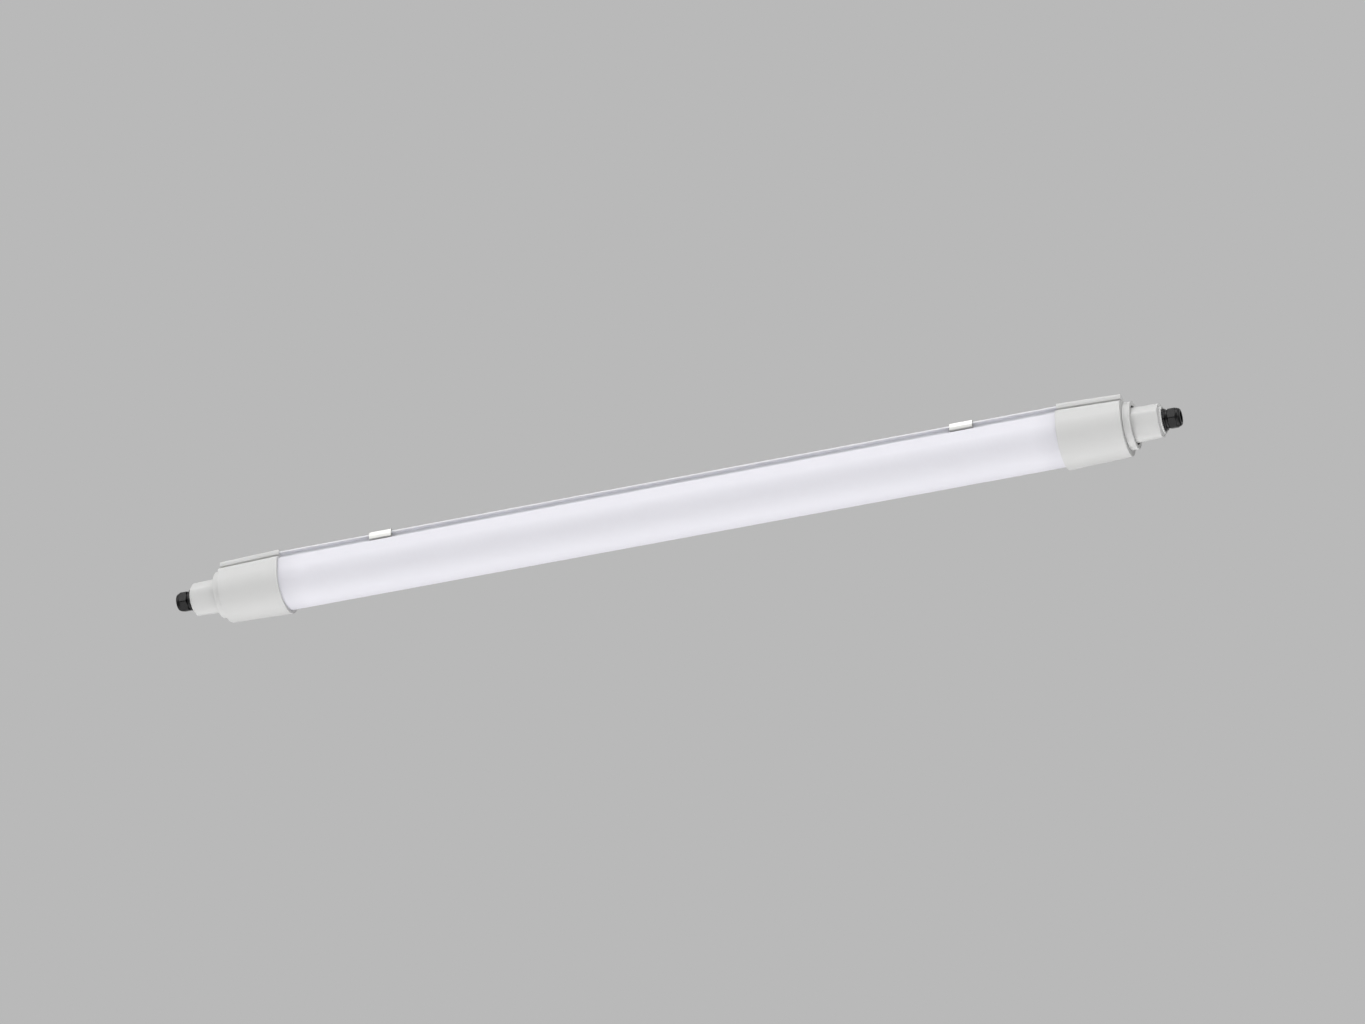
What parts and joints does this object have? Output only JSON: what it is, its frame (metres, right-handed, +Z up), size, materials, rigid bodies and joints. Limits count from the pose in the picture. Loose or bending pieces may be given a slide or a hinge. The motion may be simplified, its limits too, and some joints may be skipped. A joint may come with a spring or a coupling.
{
  "type": "weatherproof linear ceiling light",
  "caption": "Long sealed tube light for a ceiling: frosted half-round diffuser, white housing, end caps with screwed plugs and cable glands, on sliding spring clips.",
  "frame": {"origin": "on the ceiling plane, on the light's centre line, half way along its length", "axes": "+X along the light towards its right end as pictured, +Z up into the ceiling, -Y towards the camera's side"},
  "size_m": [1.2, 0.073, 0.0636],
  "materials": {
    "white_moulding": "off-white moulded plastic with a fine satin surface",
    "white_extrusion": "white extruded plastic, smooth",
    "frosted_plastic": "milky frosted plastic with fine ribs along its length",
    "black_plastic": "black nylon, slightly shiny",
    "white_plastic": "plain white plastic",
    "spring_steel": "bright stainless spring steel",
    "tray_metal": "bare folded sheet",
    "white_board": "white solder mask",
    "green_board": "green solder mask",
    "wire_sheath": "plain wire insulation",
    "seal_rubber": "dark sealing rubber",
    "pin_brass": "turned brass"
  },
  "bodies": {
    "lamp_body": {"rear_housing": "white_extrusion", "diffuser": "frosted_plastic", "led_tray": "tray_metal", "led_board_left": "white_board", "led_board_right": "white_board", "board_bridge": "white_plastic", "led_board_screw_1": "spring_steel", "led_board_screw_2": "spring_steel", "led_board_screw_3": "spring_steel", "led_board_screw_4": "spring_steel", "driver_case": "white_plastic", "driver_lid": "white_plastic", "driver_board": "green_board", "driver_screw_left": "spring_steel", "driver_screw_right": "spring_steel", "through_wire_live": "wire_sheath", "through_wire_earth": "wire_sheath", "through_wire_neutral": "wire_sheath", "wire_tap_live": "white_plastic", "wire_tap_neutral": "white_plastic", "ac_lead_live": "wire_sheath", "ac_lead_neutral": "wire_sheath", "dc_lead_plus": "wire_sheath", "dc_lead_minus": "wire_sheath", "left_end_cap": "white_moulding", "left_cap_gasket": "seal_rubber", "left_pin_carrier": "black_plastic", "left_contact_pin_1": "pin_brass", "left_contact_pin_2": "pin_brass", "left_contact_pin_3": "pin_brass", "right_end_cap": "white_moulding", "right_cap_gasket": "seal_rubber", "right_pin_carrier": "black_plastic", "right_contact_pin_1": "pin_brass", "right_contact_pin_2": "pin_brass", "right_contact_pin_3": "pin_brass"},
    "left_clip": {"left_ceiling_clip": "spring_steel"},
    "right_clip": {"right_ceiling_clip": "spring_steel"},
    "left_plug": {"left_terminal_housing": "white_moulding", "left_housing_seal": "seal_rubber", "left_terminal_block": "white_plastic", "left_gland_washer": "seal_rubber", "left_gland_body": "black_plastic", "left_sealing_insert": "seal_rubber"},
    "left_ring_carrier": {"left_slip_ring": "black_plastic"},
    "left_ring": {"left_lock_ring": "white_moulding"},
    "left_nut_carrier": {"left_clamp_ring": "black_plastic"},
    "left_nut": {"left_gland_nut": "black_plastic"},
    "right_plug": {"right_terminal_housing": "white_moulding", "right_housing_seal": "seal_rubber", "right_terminal_block": "white_plastic", "right_gland_washer": "seal_rubber", "right_gland_body": "black_plastic", "right_sealing_insert": "seal_rubber"},
    "right_ring_carrier": {"right_slip_ring": "black_plastic"},
    "right_ring": {"right_lock_ring": "white_moulding"},
    "right_nut_carrier": {"right_clamp_ring": "black_plastic"},
    "right_nut": {"right_gland_nut": "black_plastic"}
  },
  "joints": [
    {"name": "left_clip_slide", "type": "slide", "parent": "lamp_body", "child": "left_clip", "axis": [1, 0, 0], "range_m": [-0.1, 0.2]},
    {"name": "right_clip_slide", "type": "slide", "parent": "lamp_body", "child": "right_clip", "axis": [1, 0, 0], "range_m": [-0.2, 0.09]},
    {"name": "left_plug_slide", "type": "slide", "parent": "lamp_body", "child": "left_plug", "axis": [-1, 0, 0], "range_m": [0, 0.022]},
    {"name": "right_plug_slide", "type": "slide", "parent": "lamp_body", "child": "right_plug", "axis": [1, 0, 0], "range_m": [0, 0.022]},
    {"name": "left_ring_travel", "type": "slide", "parent": "left_plug", "child": "left_ring_carrier", "axis": [-1, 0, 0], "range_m": [0, 0.008]},
    {"name": "left_ring_turn", "type": "hinge", "parent": "left_ring_carrier", "child": "left_ring", "pos_m": [-0.543, 0, -0.0275], "axis": [-1, 0, 0], "range_deg": [0, 720]},
    {"name": "right_ring_travel", "type": "slide", "parent": "right_plug", "child": "right_ring_carrier", "axis": [1, 0, 0], "range_m": [0, 0.008]},
    {"name": "right_ring_turn", "type": "hinge", "parent": "right_ring_carrier", "child": "right_ring", "pos_m": [0.543, 0, -0.0275], "axis": [1, 0, 0], "range_deg": [0, 720]},
    {"name": "left_nut_travel", "type": "slide", "parent": "left_plug", "child": "left_nut_carrier", "axis": [-1, 0, 0], "range_m": [0, 0.006]},
    {"name": "left_nut_turn", "type": "hinge", "parent": "left_nut_carrier", "child": "left_nut", "pos_m": [-0.59, 0, -0.0275], "axis": [-1, 0, 0], "range_deg": [0, 1440]},
    {"name": "right_nut_travel", "type": "slide", "parent": "right_plug", "child": "right_nut_carrier", "axis": [1, 0, 0], "range_m": [0, 0.006]},
    {"name": "right_nut_turn", "type": "hinge", "parent": "right_nut_carrier", "child": "right_nut", "pos_m": [0.59, 0, -0.0275], "axis": [1, 0, 0], "range_deg": [0, 1440]}
  ],
  "couplings": [
    {"joint": "left_ring_travel", "follows": "left_ring_turn", "m_per_rad": 0.0006366},
    {"joint": "right_ring_travel", "follows": "right_ring_turn", "m_per_rad": 0.0006366},
    {"joint": "left_nut_travel", "follows": "left_nut_turn", "m_per_rad": 0.0002387},
    {"joint": "right_nut_travel", "follows": "right_nut_turn", "m_per_rad": 0.0002387}
  ]
}
